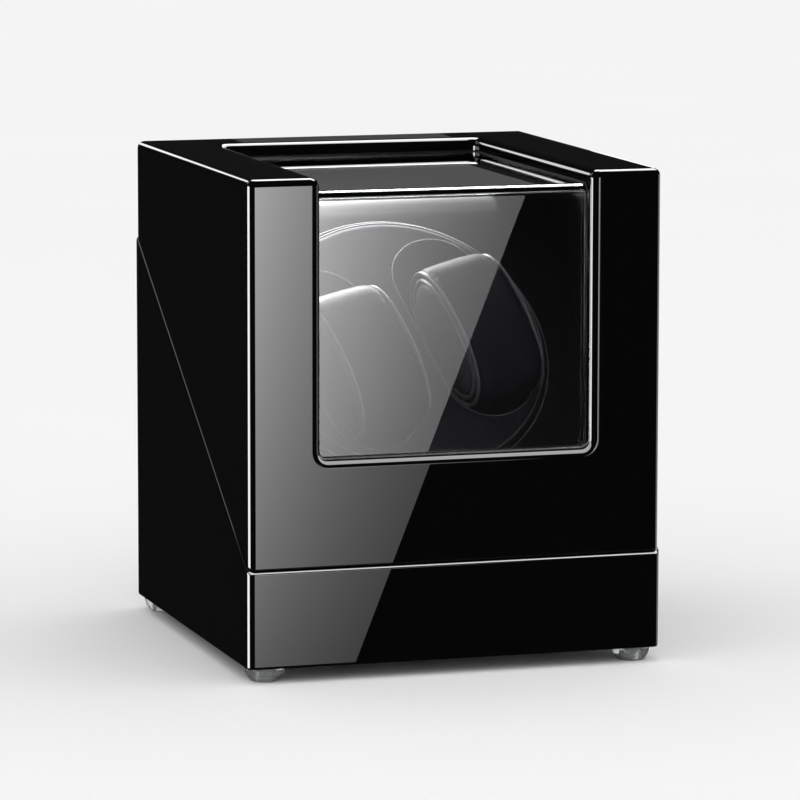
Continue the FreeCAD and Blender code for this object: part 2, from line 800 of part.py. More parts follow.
PLATE_BACK = dim.plate_front + dim.plate_thickness
HOUSING_NOSE = 3.0
BEARING_TUBE = 9.0
BEARING_FLANGE = 15.0
BEARING_BACK = 60.0
BUSH_LENGTH = 8.0
FLANGE_RISE = 2.2
FLANGE_THICKNESS = 1.5
GEARBOX_EAR_SCREW = 26.5
OUTPUT_RADIUS = 2.0
PLATE_SCREW_LENGTH = 12.0
SCREW_HEAD = (2.8, 1.8)
POST_MARGIN = 6.0
POST_RADIUS = 4.0
TUBE_GAP = 0.1
GEARBOX_NOSE = 6.0
GEARBOX_NOSE_HOLE = 7.0
SHAFT_TAIL = 4.0
RING_RADIUS = 6.0
RING_THICKNESS = 1.0
RING_GAP = 0.3


def post_spots():
    """Where the four posts stand behind the fascia."""
    low = POST_MARGIN - dim.plate_low
    high = dim.plate_high - POST_MARGIN
    return [(side * dim.post_side, y) for side in (-1, 1) for y in (low, high)]


def pulley(name, pitch, bore):
    """A flat belt pulley between two flanges, its front face at z = 0."""
    floor = size(pitch) - dim.belt_thickness / 2 - dim.belt_gap
    rim = size(pitch) + FLANGE_RISE
    length = dim.pulley_thickness
    return turned(name, [
        (bore, 0.0),
        (rim, 0.0),
        (rim, -FLANGE_THICKNESS),
        (floor, -size(FLANGE_THICKNESS)),
        (floor, FLANGE_THICKNESS - length),
        (rim, FLANGE_THICKNESS - length),
        (rim, -length),
        (bore, -length),
    ])


def belt_loop(big, small, drop):
    """The closed outline of a belt over two pulleys, the small one below the big one."""
    lean = -(big - small) / drop
    side = math.sqrt(1 - lean * lean)
    right, left = Vector(side, lean, 0), Vector(-side, lean, 0)
    low = Vector(0, -drop, 0)
    return Part.Wire([
        Part.Arc(right * big, Vector(0, big, 0), left * big).toShape(),
        Part.LineSegment(left * big, low + left * small).toShape(),
        Part.Arc(low + left * small, low - Vector(0, small, 0), low + right * small).toShape(),
        Part.LineSegment(low + right * small, right * big).toShape(),
    ])


def make_drive():
    low, high = -dim.plate_low, dim.plate_high
    spots = post_spots()
    motor_y = -dim.motor_drop
    ears = [(side * GEARBOX_EAR_SCREW, motor_y) for side in (-1, 1)]
    holes = [(HOLE, x, y) for x, y in spots + ears]
    holes += [(BEARING_TUBE + TUBE_GAP, 0.0, 0.0), (GEARBOX_NOSE_HOLE, 0.0, motor_y)]
    plate = padded_plate("plate_body", [
        (-dim.plate_half, low), (dim.plate_half, low), (dim.plate_half, high), (-dim.plate_half, high),
    ], dim.plate_thickness, holes)
    place(plate, 0.0, 0.0, -PLATE_BACK)
    node("mechanism_plate", plate, tilted=True)

    post = turned("post", [
        (0.0, -dim.housing_wall), (POST_RADIUS, -dim.housing_wall), (POST_RADIUS, -dim.plate_front),
        (HOLE, -dim.plate_front), (HOLE, PLATE_SCREW_LENGTH - dim.plate_front),
        (0.0, PLATE_SCREW_LENGTH - dim.plate_front),
    ])
    node("plate_posts", *copies("post_copy", post, [(x, y, 0.0) for x, y in spots]), tilted=True)
    plate_screw = screw("plate_screw", dim.screw_radius, PLATE_SCREW_LENGTH, *SCREW_HEAD)
    flipped = Rotation(Vector(1, 0, 0), 180)
    backs = [(x, y, -PLATE_BACK) for x, y in spots]
    node("plate_screws", *copies("plate_screw_copy", plate_screw, backs, flipped), tilted=True)

    nose = HOUSING_NOSE - dim.plate_front
    bush_bore = dim.shaft_radius + dim.running_gap
    housing = turned("bearing_body", [
        (dim.bush_radius, nose), (BEARING_FLANGE, nose), (BEARING_FLANGE, -dim.plate_front),
        (BEARING_TUBE, -dim.plate_front), (BEARING_TUBE, -BEARING_BACK),
        (dim.bush_radius, -BEARING_BACK),
    ])
    node("bearing_housing", housing, tilted=True)
    for name, top in (("front_bush", nose), ("rear_bush", BUSH_LENGTH - size(BEARING_BACK))):
        sleeve = turned(name + "_sleeve", [
            (bush_bore, top), (dim.bush_radius, top), (dim.bush_radius, top - BUSH_LENGTH),
            (bush_bore, top - BUSH_LENGTH),
        ])
        node(name, sleeve, tilted=True)

    shaft_end = -size(BEARING_BACK) - SHAFT_TAIL
    ring_top = -size(BEARING_BACK) - RING_GAP
    ring_low = ring_top - RING_THICKNESS
    shaft = rod("main_shaft", dim.shaft_radius, "z", shaft_end, 0.0)
    node("turntable_shaft", shaft, tilted=True)
    ring = turned("clip_ring", [
        (dim.shaft_radius, ring_top), (RING_RADIUS, ring_top), (RING_RADIUS, ring_low),
        (dim.shaft_radius, ring_low),
    ])
    node("retaining_ring", ring, tilted=True)

    driven = pulley("driven_wheel", dim.driven_pitch, dim.shaft_radius)
    place(driven, 0.0, 0.0, -dim.pulley_front)
    node("driven_pulley", driven, tilted=True)
    small = pulley("motor_wheel", dim.motor_pitch, OUTPUT_RADIUS)
    place(small, 0.0, motor_y, -dim.pulley_front)
    node("motor_pulley", small, tilted=True)

    belt = doc.addObject("Part::Feature", "belt_loop")
    half = float(dim.belt_thickness) / 2
    pitches = (float(dim.driven_pitch), float(dim.motor_pitch))
    drop = float(dim.motor_drop)
    outer = belt_loop(pitches[0] + half, pitches[1] + half, drop)
    inner = belt_loop(pitches[0] - half, pitches[1] - half, drop)
    width = float(dim.belt_width)
    middle = -float(dim.pulley_front + dim.pulley_thickness / 2)
    solids = [Part.Face(loop).extrude(Vector(0, 0, width)) for loop in (outer, inner)]
    band = solids[0].cut(solids[1])
    band.translate(Vector(0, 0, middle - width / 2))
    belt.Shape = band
    node("drive_belt", belt, tilted=True)


GEARBOX_BACK_WALL = 4.0
EAR_HALF = 5.0
EAR_THICKNESS = 2.5
MOTOR_EDGE = 1.5
END_CAP_RADIUS = 8.0
END_CAP_THICKNESS = 3.0
TAG_PLACE = 5.0
TAG_HALF_THICKNESS = 0.4
TAG_HALF_WIDTH = 1.5
TAG_LENGTH = 4.0
MOTOR_SCREW_LENGTH = 6.0
OUTPUT_GAP = 1.0


def make_motor():
    motor_y = -dim.motor_drop
    across = (0.0, motor_y)
    gear_back = -PLATE_BACK - dim.gearbox_length
    can_back = gear_back - dim.motor_length
    ear_reach = GEARBOX_EAR_SCREW + EAR_HALF
    case = rod("gearbox_case", dim.gearbox_radius, "z", gear_back, -PLATE_BACK, across)
    nose = rod("gearbox_nose", GEARBOX_NOSE, "z", -PLATE_BACK - 1.0, -dim.plate_front + 0.5, across)
    ear = box("gearbox_ears", (-ear_reach, ear_reach), (motor_y - EAR_HALF, motor_y + EAR_HALF),
              (-PLATE_BACK - EAR_THICKNESS, -PLATE_BACK))
    bore = rod("gearbox_bore", OUTPUT_RADIUS + dim.running_gap, "z", gear_back + GEARBOX_BACK_WALL,
               -dim.plate_front + 2.0, across)
    screw_spots = [(side * GEARBOX_EAR_SCREW, motor_y) for side in (-1, 1)]
    holes = [
        rod(f"gearbox_hole_{number}", HOLE, "z", -PLATE_BACK - EAR_THICKNESS - 1.0,
            -PLATE_BACK + 1.0, spot)
        for number, spot in enumerate(screw_spots, start=1)
    ]
    gearbox = cut("gearbox_cut", fuse("gearbox_body", case, nose, ear), bore, *holes)
    node("gearbox_housing", gearbox, tilted=True)

    can_blank = rod("motor_blank", dim.motor_radius, "z", can_back, gear_back, across)
    can = fillet("motor_rounded", can_blank, (MOTOR_EDGE, lambda edge: near(edge, z=can_back)))
    node("motor_can", can, tilted=True)
    cap_back = can_back - END_CAP_THICKNESS
    cap = rod("motor_cap_disc", END_CAP_RADIUS, "z", cap_back, can_back, across)
    tags = [
        box(f"motor_tag_{number}", (x - TAG_HALF_THICKNESS, x + TAG_HALF_THICKNESS),
            (motor_y - TAG_HALF_WIDTH, motor_y + TAG_HALF_WIDTH), (cap_back - TAG_LENGTH, cap_back))
        for number, x in enumerate((-TAG_PLACE, TAG_PLACE), start=1)
    ]
    node("motor_end_cap", fuse("motor_cap", cap, *tags), tilted=True)
    fixing = screw("motor_screw", dim.screw_radius, MOTOR_SCREW_LENGTH, *SCREW_HEAD)
    tops = [(x, y, -dim.plate_front) for x, y in screw_spots]
    node("motor_screws", *copies("motor_screw_copy", fixing, tops), tilted=True)
    output = rod("output_rod", OUTPUT_RADIUS, "z", gear_back + GEARBOX_BACK_WALL + OUTPUT_GAP,
                 -dim.pulley_front + 1.0, across)
    node("motor_output_shaft", output, tilted=True)


# ---------------------------------------------------------------- rear controls

BOARD_BACK = 76.0
BOARD_THICKNESS = 1.6
BOARD_HALF = (34.0, 14.0)
CONTROL_PLATE_RISE = 24.0
CONTROL_PLATE_ROUND = 3.0
KNOB_SHAFT = 2.0
KNOB_COLLAR = 3.5
KNOB_EDGE = 0.8
KNOB_TOP_WALL = 2.0
KNOB_NOTCH = (0.5, 0.6)
KNOB_NOTCH_RANGE = (2.0, 9.0)
MODE_BODY_HALF = 8.0
MODE_BACK_WALL = 4.0
JACK_BACK = 82.5
JACK_NOSE = 4.0
JACK_HALF = (4.5, 5.5)
JACK_PIN = 1.0
FITTING_GAP = 0.1
BEZEL_HALF = (9.5, 6.5)
BEZEL_THICKNESS = 1.0
SHELL_HALF = (7.4, 4.4)
SPACE_HALF = (6.4, 3.6)
ROCKER_PIVOT = 88.0
ROCKER_HALF = 5.2
ROCKER_DEEP = 3.0
ROCKER_HEIGHT = 6.0
ROCKER_HOLLOW = 1.2
ROCKER_WIDTH = 6.4
CHIP_HALF = (6.0, 4.0)
CHIP_HEIGHT = 2.4
CAPACITOR_RADIUS = 4.0
CAPACITOR_HEIGHT = 11.0
CAPACITOR_PLACE = (20.0, 4.0)
TERMINAL_PLACE = -22.0
TERMINAL_HALF = (8.0, 4.0)
TERMINAL_HEIGHT = 9.0
TERMINAL_PITCH = 5.0
TERMINAL_HOLE = 1.4
TERMINAL_HOLE_DEPTH = 5.0


def square_about(x, z, half):
    """The pairs of planes of a block centred on a place on the rear."""
    return (x - half[0], x + half[0]), (z - half[1], z + half[1])


def make_control_plate(z, outside):
    """The rounded plate that carries the rear controls, with its holes and screws."""
    through = (HALF_DEPTH - 1.0, outside + 1.0)
    blank = box("control_blank", (-dim.control_half, dim.control_half), (HALF_DEPTH, outside),
                (z - CONTROL_PLATE_RISE, z + CONTROL_PLATE_RISE))
    rounded = fillet("control_rounded", blank, (CONTROL_PLATE_ROUND, lambda edge: runs(edge, 1)))
    slot_half = [half + FITTING_GAP for half in SHELL_HALF]
    slot_x, slot_z = square_about(-dim.rocker_place, z, slot_half)
    tools = [
        rod("control_knob_hole", KNOB_COLLAR + FITTING_GAP, "y", *through, (dim.knob_place, z)),
        rod("control_jack_hole", JACK_NOSE + FITTING_GAP, "y", *through, (0.0, z)),
        box("control_rocker_hole", slot_x, through, slot_z),
    ]
    screw_spots = []
    for side in (-1, 1):
        for end in (-1, 1):
            spot = (side * CONTROL_SCREW_X, z + end * CONTROL_SCREW_RISE)
            screw_spots.append((spot[0], outside, spot[1]))
            tools.append(rod(f"control_hole_{side + 2}_{end + 2}", HOLE, "y", *through, spot))
    node("control_plate", cut("control_plate_cut", rounded, *tools))
    fixing = screw("control_screw", dim.screw_radius, CONTROL_SCREW_LENGTH, 2.6, 1.4)
    node("control_plate_screws",
         *copies("control_screw_copy", fixing, screw_spots, POINTS_BACK))


def make_mode_switch(z, outside):
    """The rotary mode switch, its stem and its knob."""
    knob_x = dim.knob_place
    across = (knob_x, z)
    knob_top = HALF_DEPTH + dim.rear_reach
    body_x, body_z = square_about(knob_x, z, (MODE_BODY_HALF, MODE_BODY_HALF))
    body = box("mode_body", body_x, (BOARD_BACK, HALF_DEPTH), body_z)
    collar = rod("mode_collar", KNOB_COLLAR, "y", HALF_DEPTH, outside, across)
    bore = rod("mode_bore", KNOB_SHAFT + dim.running_gap, "y", BOARD_BACK + MODE_BACK_WALL,
               outside + 1.0, across)
    node("mode_switch_body", cut("mode_switch_cut", fuse("mode_solid", body, collar), bore))
    stem = rod("mode_stem", KNOB_SHAFT, "y", BOARD_BACK + MODE_BACK_WALL + 1.0,
               knob_top - KNOB_TOP_WALL, across)
    node("mode_switch_shaft", stem)
    knob_front = outside + dim.knob_gap
    knob_blank = rod("knob_blank", dim.knob_radius, "y", knob_front, knob_top, across)
    knob_soft = fillet("knob_rounded", knob_blank, (KNOB_EDGE, lambda edge: near(edge, y=knob_top)))
    socket = rod("knob_socket", KNOB_SHAFT, "y", knob_front - 1.0, knob_top - KNOB_TOP_WALL, across)
    half, depth = KNOB_NOTCH
    low, high = KNOB_NOTCH_RANGE
    notch = box("knob_notch", (knob_x - half, knob_x + half), (knob_top - depth, knob_top + 1.0),
                (z + low, z + high))
    node("mode_knob", cut("knob_cut", knob_soft, socket, notch))


def make_jack(z, outside):
    """The power socket and its centre pin."""
    jack_x, jack_z = square_about(size(0.0), z, JACK_HALF)
    body = box("jack_body", jack_x, (BOARD_BACK, HALF_DEPTH), jack_z)
    nose = rod("jack_nose", JACK_NOSE, "y", HALF_DEPTH, outside, (0.0, z))
    bore = rod("jack_bore", dim.jack_radius, "y", JACK_BACK, outside + 1.0, (0.0, z))
    node("dc_jack", cut("jack_cut", fuse("jack_solid", body, nose), bore))
    node("dc_jack_pin", rod("jack_pin", JACK_PIN, "y", JACK_BACK, outside - 1.0, (0.0, z)))


def make_power_switch(z, outside):
    """The rocker switch: a bezelled shell and the rocker that tips in it."""
    rocker_x = -dim.rocker_place
    bezel_x, bezel_z = square_about(rocker_x, z, BEZEL_HALF)
    shell_x, shell_z = square_about(rocker_x, z, SHELL_HALF)
    space_x, space_z = square_about(rocker_x, z, SPACE_HALF)
    bezel = box("rocker_bezel", bezel_x, (outside, outside + BEZEL_THICKNESS), bezel_z)
    shell = box("rocker_shell", shell_x, (BOARD_BACK, outside), shell_z)
    space = box("rocker_space", space_x, (ROCKER_PIVOT - ROCKER_DEEP - 2.0, outside + 2.0), space_z)
    node("power_switch_housing", cut("rocker_housing_cut", fuse("rocker_solid", bezel, shell), space))

    rocker = doc.addObject("PartDesign::Body", "rocker_body")
    plane = next(item for item in rocker.Origin.OriginFeatures if item.Role == "XY_Plane")
    outline = rocker.newObject("Sketcher::SketchObject", "rocker_outline")
    outline.AttachmentSupport = [(plane, "")]
    outline.MapMode = "FlatFace"
    constrain(outline, [
        (0.0, -ROCKER_DEEP), (ROCKER_HALF, 1.0), (ROCKER_HALF, ROCKER_HEIGHT),
        (0.0, ROCKER_HEIGHT - ROCKER_HOLLOW), (-ROCKER_HALF, ROCKER_HEIGHT), (-ROCKER_HALF, 1.0),
    ])
    pad = rocker.newObject("PartDesign::Pad", "rocker_pad")
    pad.Profile = outline
    pad.Length = ROCKER_WIDTH
    rocker.Placement = Placement(Vector(), Rotation(Vector(0, 0, 1), float(dim.rocker_rest)))
    place(rocker, rocker_x, ROCKER_PIVOT, z - ROCKER_WIDTH / 2)
    node("power_rocker", rocker)


def make_board(z):
    """The control board and what is soldered to its front."""
    front = BOARD_BACK - BOARD_THICKNESS
    half_x, half_z = BOARD_HALF
    node("control_board", box("board_sheet", (-half_x, half_x), (front, BOARD_BACK),
                              (z - half_z, z + half_z)))
    chip_x, chip_z = square_about(size(0.0), z, CHIP_HALF)
    node("board_chip", box("chip_block", chip_x, (front - CHIP_HEIGHT, front), chip_z))
    can_place = (CAPACITOR_PLACE[0], z + CAPACITOR_PLACE[1])
    node("board_capacitor", rod("capacitor_can", CAPACITOR_RADIUS, "y", front - CAPACITOR_HEIGHT,
                                front, can_place))
    strip_x, strip_z = square_about(size(TERMINAL_PLACE), z, TERMINAL_HALF)
    mouth = front - TERMINAL_HEIGHT
    strip = box("terminal_block_solid", strip_x, (mouth, front), strip_z)
    holes = [
        rod(f"terminal_hole_{number + 2}", TERMINAL_HOLE, "y", mouth - 1.0,
            mouth + TERMINAL_HOLE_DEPTH, (TERMINAL_PLACE + number * TERMINAL_PITCH, z))
        for number in (-1, 0, 1)
    ]
    node("terminal_block", cut("terminal_cut", strip, *holes))


def make_controls():
    z = dim.control_height
    outside = HALF_DEPTH + dim.control_plate_thickness
    make_control_plate(z, outside)
    make_mode_switch(z, outside)
    make_jack(z, outside)
    make_power_switch(z, outside)
    make_board(z)


# ---------------------------------------------------------------- hinges

KNUCKLE_GAP = 0.15
PIN_HEAD = 1.3
PIN_HEAD_HEIGHT = 0.8


def leaf(name, middle, knuckles, plate_y, plate_z):
    """One hinge leaf: a plate on the case and its share of the knuckles on the axis."""
    axis_y = HALF_DEPTH + dim.hinge_offset
    axis_z = dim.split_back
    low, high = plate_z
    pieces = [box(name + "_plate", (middle - dim.hinge_half, middle + dim.hinge_half),
                  (plate_y, plate_y + dim.leaf_thickness), (low, high))]
    for number, (start, end) in enumerate(knuckles, start=1):
        across = (axis_y, axis_z)
        pieces.append(rod(f"{name}_knuckle_{number}", dim.knuckle_radius, "x", middle + start,
                          middle + end, across))
        reach = sorted((axis_z, low, high), key=float)
        web = (axis_z, reach[2]) if float(low) > float(axis_z) else (reach[0], axis_z)
        pieces.append(box(f"{name}_web_{number}", (middle + start, middle + end),
                          (plate_y, plate_y + dim.leaf_thickness), web))
    bore = rod(name + "_bore", dim.pin_radius + dim.pin_gap, "x", middle - dim.hinge_half - 1.0,
               middle + dim.hinge_half + 1.0, (axis_y, axis_z))
    return fuse(name + "_solid", *pieces), bore


def make_hinges():
    axis_y = HALF_DEPTH + dim.hinge_offset
    axis_z = dim.split_back
    inner = dim.knuckle_half
    outer = dim.hinge_half
    base_knuckles = [(-outer, -inner - KNUCKLE_GAP), (inner + KNUCKLE_GAP, outer)]
    lid_knuckles = [(-inner, inner)]
    near_axis = dim.knuckle_radius + 0.5
    base_range = (axis_z - dim.leaf_reach, axis_z - near_axis)
    lid_range = (axis_z + near_axis, axis_z + dim.leaf_reach)
    lid_face = HALF_DEPTH - dim.lid_inset
    base_spots, lid_spots = [], []
    pin_head = size(PIN_HEAD)
    for side, word in SIDES:
        middle = side * dim.hinge_place
        for part_word, knuckles, face, span, drop, spots in (
            ("base", base_knuckles, HALF_DEPTH, base_range, -HINGE_SCREW_DROP, base_spots),
            ("lid", lid_knuckles, lid_face, lid_range, HINGE_SCREW_DROP, lid_spots),
        ):
            name = f"{word}_hinge_{part_word}_leaf"
            solid, bore = leaf(name + "_blank", middle, knuckles, face, span)
            holes = []
            for end in (-1, 1):
                x = middle + end * HINGE_SCREW_X
                spots.append((x, face + dim.leaf_thickness, axis_z + drop))
                holes.append(rod(f"{name}_hole_{end + 2}", HOLE, "y", face - 1.0,
                                 face + dim.leaf_thickness + 1.0, (x, axis_z + drop)))
            node(name, cut(name + "_cut", solid, bore, *holes))
        reach = dim.hinge_half + 0.1
        rest = (axis_y, axis_z)
        pin = fuse(
            f"{word}_pin_solid",
            rod(f"{word}_pin_rod", dim.pin_radius, "x", middle - reach, middle + reach, rest),
            rod(f"{word}_pin_head_1", pin_head, "x", middle - reach - PIN_HEAD_HEIGHT,
                middle - reach, rest),
            rod(f"{word}_pin_head_2", pin_head, "x", middle + reach,
                middle + reach + PIN_HEAD_HEIGHT, rest),
        )
        node(f"{word}_hinge_pin", pin)
    fixing = screw("hinge_screw", dim.screw_radius, HINGE_SCREW_LENGTH, 2.6, 1.0)
    node("hinge_base_screws", *copies("hinge_base_screw", fixing, base_spots, POINTS_BACK))
    node("hinge_lid_screws", *copies("hinge_lid_screw", fixing, lid_spots, POINTS_BACK))


# ---------------------------------------------------------------- build and write

def write_parts():
    doc.recompute()
    bad = [item.Name for item in doc.Objects if {"Invalid", "Error"} & set(item.State)]
    for name, item in nodes.items():
        if item.Shape.isNull() or not item.Shape.isValid() or not item.Shape.Solids:
            bad.append(name)
    if bad:
        raise RuntimeError("failed: " + ", ".join(bad))
    os.makedirs("parts", exist_ok=True)
    for name, item in nodes.items():
        item.Shape.exportStep(f"parts/{name}.step")
    print(len(nodes), "sub-parts written")


for make in (make_feet, make_base_case, make_lid, make_housing, make_turntable, make_pillows,
             make_drive, make_motor, make_controls, make_hinges):
    make()
write_parts()
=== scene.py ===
import json
import math

import bmesh
import bpy
from mathutils import Matrix, Vector


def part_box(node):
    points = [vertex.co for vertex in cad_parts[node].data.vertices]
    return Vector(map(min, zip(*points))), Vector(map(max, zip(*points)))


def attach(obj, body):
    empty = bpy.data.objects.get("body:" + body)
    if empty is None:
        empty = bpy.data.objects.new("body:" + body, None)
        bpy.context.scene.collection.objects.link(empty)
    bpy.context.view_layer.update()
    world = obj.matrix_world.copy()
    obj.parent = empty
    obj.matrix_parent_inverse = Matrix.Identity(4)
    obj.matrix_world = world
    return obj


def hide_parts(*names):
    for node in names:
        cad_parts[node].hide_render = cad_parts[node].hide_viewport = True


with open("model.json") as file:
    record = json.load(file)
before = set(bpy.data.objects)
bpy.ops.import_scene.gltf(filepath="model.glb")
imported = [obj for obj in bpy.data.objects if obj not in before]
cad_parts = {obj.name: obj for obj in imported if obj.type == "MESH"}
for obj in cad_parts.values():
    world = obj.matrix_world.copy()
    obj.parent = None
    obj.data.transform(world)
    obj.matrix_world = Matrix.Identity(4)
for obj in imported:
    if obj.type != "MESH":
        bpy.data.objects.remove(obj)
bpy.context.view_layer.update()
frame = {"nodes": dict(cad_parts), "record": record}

# A two-watch winder box in black piano lacquer, with a bent acrylic window, a tilted
# turntable and two leather pillows. Metres, in the frame of the CAD model: Z up, window to -Y.

MM = 0.001
CASE_LOW, CASE_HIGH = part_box("base_case")
CASE_MIDDLE_Y = (CASE_LOW.y + CASE_HIGH.y) / 2
CASE_FLOOR = CASE_LOW.z

spin = next(joint for joint in frame["record"]["behaviour"]["joints"]
            if joint["name"] == "turntable_spin")
DISC_MIDDLE = Vector(spin["pos_m"])
DISC_OUT = Vector(spin["axis"]).normalized()
DISC_RIGHT = Vector((1.0, 0.0, 0.0))
DISC_UP = DISC_OUT.cross(DISC_RIGHT).normalized()

# The pillows stand in two slots that are turned in the disc. A pillow's middle is offset across
# the slots from the disc's middle, dropped along them and risen out of the disc.
SLOT_TURN = math.radians(14.5)
PILLOW_OFFSET = 27.1 * MM
PILLOW_DROP = 9.0 * MM
PILLOW_RISE = 15.9 * MM
PILLOW_REACH = 33.4 * MM
PILLOW_HALF_THICKNESS = 21.0 * MM
PILLOW_HALF_WIDTH = 16.7 * MM


# ---------------------------------------------------------------- material tools

class Recipe:
    """A Principled material under construction."""

    def __init__(self, name, colour, roughness, **sockets):
        self.material = bpy.data.materials.new(name)
        self.material.use_nodes = True
        tree = self.material.node_tree
        self.nodes, self.links = tree.nodes, tree.links
        self.shader = self.nodes["Principled BSDF"]
        self.output = self.nodes["Material Output"]
        self.shader.inputs["Base Color"].default_value = (*colour, 1.0)
        self.shader.inputs["Roughness"].default_value = roughness
        for socket, value in sockets.items():
            title = socket.replace("_", " ").title().replace("Ior", "IOR")
            self.shader.inputs[title].default_value = value
        self.place = None
        self.height = None

    def add(self, kind, **settings):
        node = self.nodes.new(kind)
        for key, value in settings.items():
            setattr(node, key, value)
        return node

    def where(self):
        """Object coordinates, which are the row frame in metres."""
        if self.place is None:
            self.place = self.add("ShaderNodeTexCoord").outputs["Object"]
        return self.place

    def noise(self, cell, detail=3.0, stretch=None):
        """Noise whose features are about one cell across, in metres."""
        node = self.add("ShaderNodeTexNoise")
        node.inputs["Scale"].default_value = 1.0 / cell
        node.inputs["Detail"].default_value = detail
        source = self.where()
        if stretch:
            mapping = self.add("ShaderNodeMapping")
            mapping.inputs["Scale"].default_value = stretch
            self.links.new(source, mapping.inputs["Vector"])
            source = mapping.outputs["Vector"]
        self.links.new(source, node.inputs["Vector"])
        return node.outputs["Fac"]

    def cells(self, cell):
        """Distance from the edges of cells about one cell across, in metres."""
        node = self.add("ShaderNodeTexVoronoi", feature="DISTANCE_TO_EDGE")
        node.inputs["Scale"].default_value = 1.0 / cell
        self.links.new(self.where(), node.inputs["Vector"])
        return node.outputs["Distance"]

    def spread(self, source, low, high, start=0.0, end=1.0):
        """Map a 0 to 1 source onto another range."""
        node = self.add("ShaderNodeMapRange")
        ends = {"From Min": start, "From Max": end, "To Min": low, "To Max": high}
        for socket, value in ends.items():
            node.inputs[socket].default_value = value
        self.links.new(source, node.inputs["Value"])
        return node.outputs["Result"]

    def rough(self, source, low, high):
        """Vary the roughness between two values."""
        self.links.new(self.spread(source, low, high, 0.3, 0.7), self.shader.inputs["Roughness"])
        return self

    def tint(self, source, first, second, start=0.35, end=0.65):
        """Vary the colour between two colours."""
        ramp = self.add("ShaderNodeValToRGB")
        ramp.color_ramp.elements[0].position = start
        ramp.color_ramp.elements[1].position = end
        ramp.color_ramp.elements[0].color = (*first, 1.0)
        ramp.color_ramp.elements[1].color = (*second, 1.0)
        self.links.new(source, ramp.inputs["Fac"])
        self.links.new(ramp.outputs["Color"], self.shader.inputs["Base Color"])
        return self

    def bump(self, source, height, strength=1.0):
        """Raise the surface by a source; bumps add up."""
        node = self.add("ShaderNodeBump")
        node.inputs["Distance"].default_value = height
        node.inputs["Strength"].default_value = strength
        self.links.new(source, node.inputs["Height"])
        if self.height is not None:
            self.links.new(self.height, node.inputs["Normal"])
        self.height = node.outputs["Normal"]
        self.links.new(self.height, self.shader.inputs["Normal"])
        return self


def shade(value):
    return (value, value, value)


# ---------------------------------------------------------------- materials

def lacquer():
    made = Recipe("piano_lacquer", (0.0015, 0.0015, 0.0018), 0.0, specular_ior_level=0.5)
    made.rough(made.noise(18 * MM, 2.0), 0.0, 0.006)
    return made.material


def acrylic():
    """Clear sheet that mirrors like glass and lets lamps light what is behind it."""
    made = Recipe("clear_acrylic", (0.97, 0.975, 0.98), 0.0, ior=1.49, transmission_weight=1.0,
                  coat_weight=1.0, coat_roughness=0.0)
    open_to_lamps = made.add("ShaderNodeBsdfTransparent")
    open_to_lamps.inputs["Color"].default_value = (0.4, 0.4, 0.405, 1.0)
    path = made.add("ShaderNodeLightPath")
    mix = made.add("ShaderNodeMixShader")
    made.links.new(path.outputs["Is Shadow Ray"], mix.inputs["Fac"])
    made.links.new(made.shader.outputs["BSDF"], mix.inputs[1])
    made.links.new(open_to_lamps.outputs["BSDF"], mix.inputs[2])
    made.links.new(mix.outputs["Shader"], made.output.inputs["Surface"])
    return made.material


def clear_rubber():
    made = Recipe("clear_bumper", (0.82, 0.84, 0.84), 0.18, ior=1.45, transmission_weight=0.85)
    made.bump(made.noise(1.2 * MM), 0.04 * MM)
    return made.material


def satin_plastic(name, dark, light, roughness, grain, depth, gloss=0.5):
    """Moulded plastic with a fine spark-eroded grain and slight unevenness of colour."""
    made = Recipe(name, dark, roughness, specular_ior_level=gloss)
    made.tint(made.noise(22 * MM, 4.0), dark, light)
    made.rough(made.noise(6 * MM, 3.0), roughness - 0.05, roughness + 0.06)
    made.bump(made.noise(grain, 2.0), depth, 0.6)
    return made.material


def gloss_plastic(name, colour, roughness=0.12):
    made = Recipe(name, colour, roughness, coat_weight=0.3, coat_roughness=0.08)
    made.rough(made.noise(4 * MM), roughness - 0.03, roughness + 0.05)
    return made.material


def leather(name, dark, light):
    """Smooth charcoal imitation leather with a fine pebble and soft rub marks."""
    made = Recipe(name, dark, 0.44, specular_ior_level=0.05)
    made.tint(made.noise(9 * MM, 5.0), dark, light)
    made.rough(made.noise(9 * MM, 2.0), 0.42, 0.5)
    made.bump(made.spread(made.cells(0.8 * MM), 0.0, 1.0, 0.0, 0.35), 0.004 * MM, 0.25)
    made.bump(made.noise(7 * MM, 3.0), 0.2 * MM, 0.4)
    return made.material


def piping():
    # Pale grey, far lighter than the cover's leather: a painted highlight on the piping cords.
    made = Recipe("pillow_piping_painted_highlight", (0.09, 0.09, 0.1), 0.34, sheen_weight=0.1, sheen_roughness=0.4)
    made.rough(made.noise(3 * MM, 4.0), 0.28, 0.42)
    made.bump(made.cells(0.8 * MM), 0.04 * MM, 0.5)
    return made.material


def painted_highlight_bead():
    """Light grey standing in for the bright arris of a moulded opening: a painted highlight."""
    made = Recipe("painted_edge_highlight", (0.13, 0.13, 0.14), 0.22)
    made.rough(made.noise(6 * MM, 2.0), 0.18, 0.3)
    return made.material


def metal(name, colour, roughness, brush=None, grain=0.25 * MM):
    """Metal, brushed along an axis where a stretch is given."""
    made = Recipe(name, colour, roughness, metallic=1.0)
    made.rough(made.noise(grain, 4.0, brush), roughness - 0.06, roughness + 0.08)
    made.bump(made.noise(grain, 3.0, brush), 0.01 * MM, 0.6)
    return made.material


def fibreboard(name, dark, light, roughness=0.8):
    made = Recipe(name, dark, roughness)
    made.tint(made.noise(0.9 * MM, 6.0), dark, light, 0.3, 0.7)
    made.bump(made.noise(0.5 * MM, 5.0), 0.08 * MM)
    return made.material


